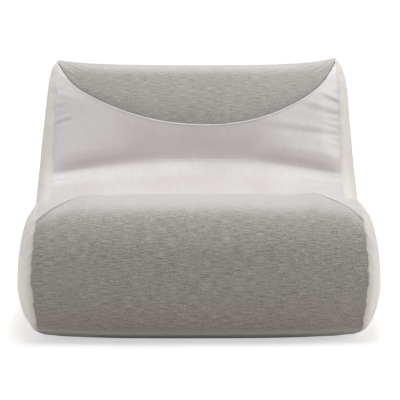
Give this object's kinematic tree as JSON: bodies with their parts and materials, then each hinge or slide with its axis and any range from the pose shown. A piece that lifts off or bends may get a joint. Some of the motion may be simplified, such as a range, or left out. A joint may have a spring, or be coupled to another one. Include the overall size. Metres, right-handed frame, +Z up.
{
  "type": "armchair",
  "caption": "Low armless foam lounge chair: a wave of foam in a zipped cover, with grey woven seat and head, white ribbed back and cream sides",
  "frame": {"origin": "On the floor, under the middle of the chair's box", "axes": "X runs across the chair, from the left to the right of someone who looks at its front, Y from its front to its back, Z up"},
  "size_m": [0.952, 0.9401, 0.6647],
  "materials": {
    "grey_weave": "matte",
    "white_rib": "matte",
    "cream_cloth": "matte",
    "base_cloth": "matte",
    "wadding": "matte",
    "firm_foam": "matte",
    "medium_foam": "matte",
    "soft_foam": "matte",
    "zip_plastic": "matte",
    "zip_metal": "satin"
  },
  "bodies": {
    "chair": {"seat_cover": "grey_weave", "head_cover": "grey_weave", "rear_cover": "grey_weave", "hem_cover": "grey_weave", "back_cover": "white_rib", "head_seam_piping": "white_rib", "left_side_cover": "cream_cloth", "right_side_cover": "cream_cloth", "base_cover": "base_cloth", "upper_zip_tape": "base_cloth", "lower_zip_tape": "base_cloth", "seat_wadding": "wadding", "back_wadding": "wadding", "head_wadding": "wadding", "rear_wadding": "wadding", "hem_wadding": "wadding", "left_side_wadding": "wadding", "right_side_wadding": "wadding", "base_foam": "firm_foam", "front_roll_foam": "medium_foam", "seat_core_foam": "medium_foam", "back_foam": "medium_foam", "seat_top_foam": "soft_foam", "head_foam": "soft_foam", "left_side_foam": "soft_foam", "right_side_foam": "soft_foam", "zip_coil": "zip_plastic", "zip_start_stop": "zip_metal", "zip_end_stop": "zip_metal"},
    "slider": {"zip_slider": "zip_metal"},
    "pull": {"zip_pull": "zip_metal"}
  },
  "joints": [
    {"name": "zip_slide", "type": "slide", "parent": "chair", "child": "slider", "axis": [1, 0, 0], "range_m": [0, 0.74]},
    {"name": "pull_swing", "type": "hinge", "parent": "slider", "child": "pull", "pos_m": [-0.37017, 0.46884, 0.07753], "axis": [0, 0.1531, 0.9882], "range_deg": [0, 180]}
  ]
}
